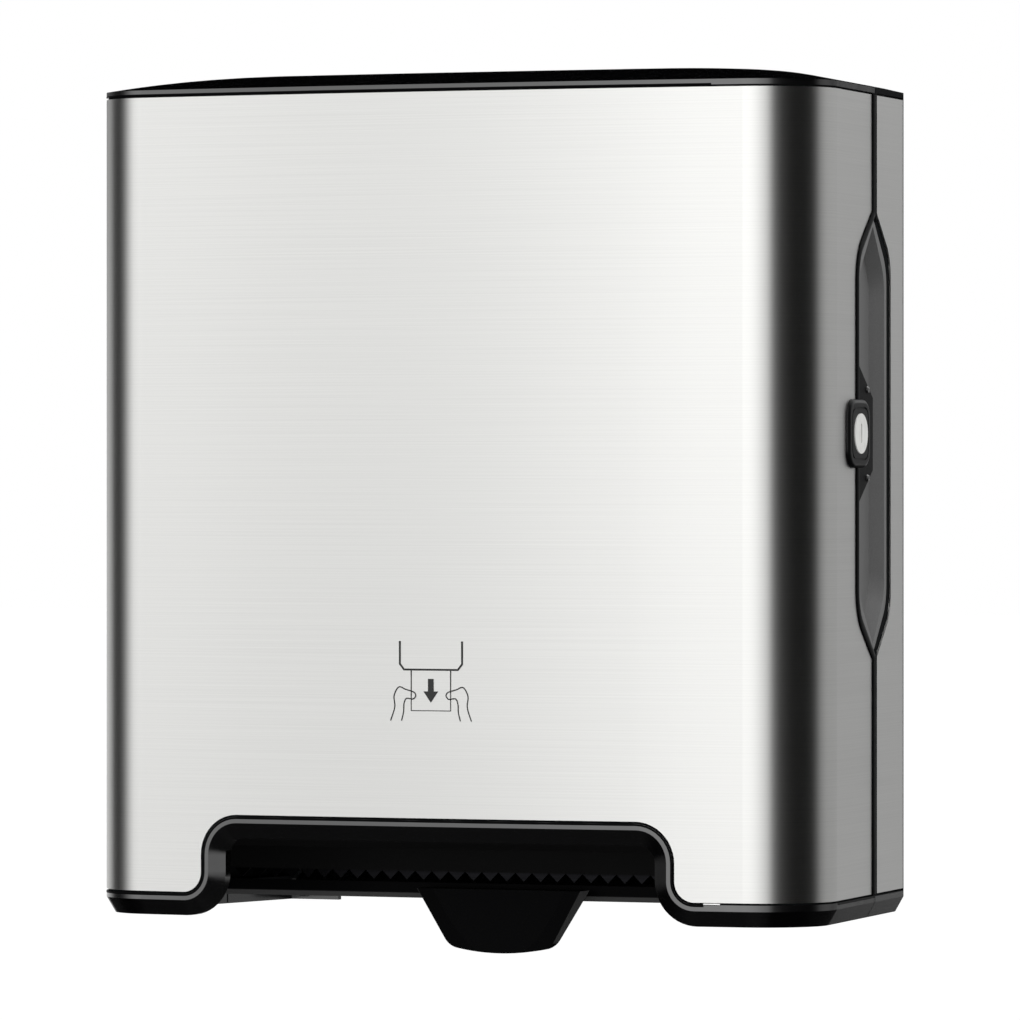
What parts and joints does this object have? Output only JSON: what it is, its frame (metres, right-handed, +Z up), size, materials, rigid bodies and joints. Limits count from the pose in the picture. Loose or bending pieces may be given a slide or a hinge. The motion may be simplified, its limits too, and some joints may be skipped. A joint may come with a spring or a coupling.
{
  "type": "roll towel dispenser",
  "caption": "Wall-mounted roll towel dispenser with a brushed steel swing cover, side cam lock, push-lever paper feed, geared drum, pinch roller and tear blade.",
  "frame": {"origin": "centre of the four wall screws on the rear face", "axes": "+Z up, +X to the viewer's right, +Y back to the wall, the front faces -Y"},
  "size_m": [0.3492, 0.1693, 0.3925],
  "materials": {
    "steel_skin": "horizontally brushed stainless sheet",
    "black_gloss": "glossy black moulding",
    "black_inner": "satin black moulding",
    "grey_inner": "satin dark grey moulding",
    "drum_plastic": "satin grey moulding",
    "wheel_plastic": "satin blue moulding",
    "gear_plastic": "natural acetal",
    "grip_rubber": "matt rubber",
    "lock_nickel": "nickel plate",
    "plain_steel": "plain bright steel"
  },
  "bodies": {
    "housing": {"rear_shell": "black_gloss", "rear_skin_left": "steel_skin", "rear_skin_right": "steel_skin", "grip_scoop": "black_gloss", "lock_keeper": "plain_steel", "hinge_pins": "plain_steel", "cheek_left": "grey_inner", "cheek_right": "grey_inner", "tie_bar": "grey_inner", "drum_bush_left": "gear_plastic", "drum_bush_right": "gear_plastic", "chute": "black_inner", "drum_guard": "black_inner", "tear_blade": "plain_steel", "pinch_leaves": "plain_steel", "roll_arm_left": "grey_inner", "arm_bracket": "grey_inner", "arm_pin": "plain_steel", "frame_screws": "plain_steel"},
    "front_cover": {"cover_skin": "steel_skin", "cover_shell": "black_gloss", "top_cap": "black_gloss", "bottom_trim": "black_gloss", "lock_bezel": "black_gloss", "lock_case": "black_inner"},
    "lock": {"lock_barrel": "lock_nickel", "lock_cam": "plain_steel"},
    "drum": {"drum_shell": "drum_plastic", "drum_bands": "grip_rubber", "drum_end_left": "drum_plastic", "drum_end_right": "drum_plastic", "drum_shaft": "plain_steel", "hand_wheel": "wheel_plastic", "shaft_clip": "plain_steel"},
    "clutch": {"clutch_pinion": "gear_plastic", "one_way_clutch": "plain_steel"},
    "feed_lever": {"lever_paddle": "black_gloss", "lever_shaft": "plain_steel", "sector_gear": "gear_plastic"},
    "pinch_roller": {"pinch_shaft": "plain_steel", "pinch_sleeves": "grip_rubber"},
    "right_arm": {"roll_arm_right": "grey_inner"},
    "left_hub": {"roll_hub_left": "drum_plastic"},
    "right_hub": {"roll_hub_right": "drum_plastic"}
  },
  "joints": [
    {"name": "cover_hinge", "type": "hinge", "parent": "housing", "child": "front_cover", "pos_m": [-0.16484, -0.055, 0], "axis": [0, 0, -1], "range_deg": [0, 100]},
    {"name": "lock_turn", "type": "hinge", "parent": "front_cover", "child": "lock", "pos_m": [0.16955, -0.09358, 0.02655], "axis": [0.9982, 0.0597, 0], "range_deg": [0, 90]},
    {"name": "drum_spin", "type": "hinge", "parent": "housing", "child": "drum", "pos_m": [0, -0.062, -0.12545], "axis": [1, 0, 0], "continuous": true},
    {"name": "lever_push", "type": "hinge", "parent": "housing", "child": "feed_lever", "pos_m": [0, -0.072, -0.17699], "axis": [1, 0, 0], "range_deg": [0, 25], "stiffness_Nm_per_rad": 0.4, "springref_deg": -17.19},
    {"name": "clutch_spin", "type": "hinge", "parent": "housing", "child": "clutch", "pos_m": [0, -0.062, -0.12545], "axis": [1, 0, 0], "range_deg": [-48, 0]},
    {"name": "pinch_spin", "type": "hinge", "parent": "housing", "child": "pinch_roller", "pos_m": [0, -0.0183, -0.12545], "axis": [1, 0, 0], "continuous": true},
    {"name": "right_arm_swing", "type": "hinge", "parent": "housing", "child": "right_arm", "pos_m": [0.107, -0.011, 0.03755], "axis": [0, 0, 1], "range_deg": [0, 14], "stiffness_Nm_per_rad": 1, "springref_deg": -5.73},
    {"name": "left_hub_spin", "type": "hinge", "parent": "housing", "child": "left_hub", "pos_m": [-0.103, -0.082, 0.03755], "axis": [1, 0, 0], "continuous": true},
    {"name": "right_hub_spin", "type": "hinge", "parent": "right_arm", "child": "right_hub", "pos_m": [0.103, -0.082, 0.03755], "axis": [1, 0, 0], "continuous": true}
  ],
  "couplings": [
    {"joint": "clutch_spin", "follows": "lever_push", "ratio": -1.9167},
    {"joint": "pinch_spin", "follows": "drum_spin", "ratio": -4.425}
  ]
}
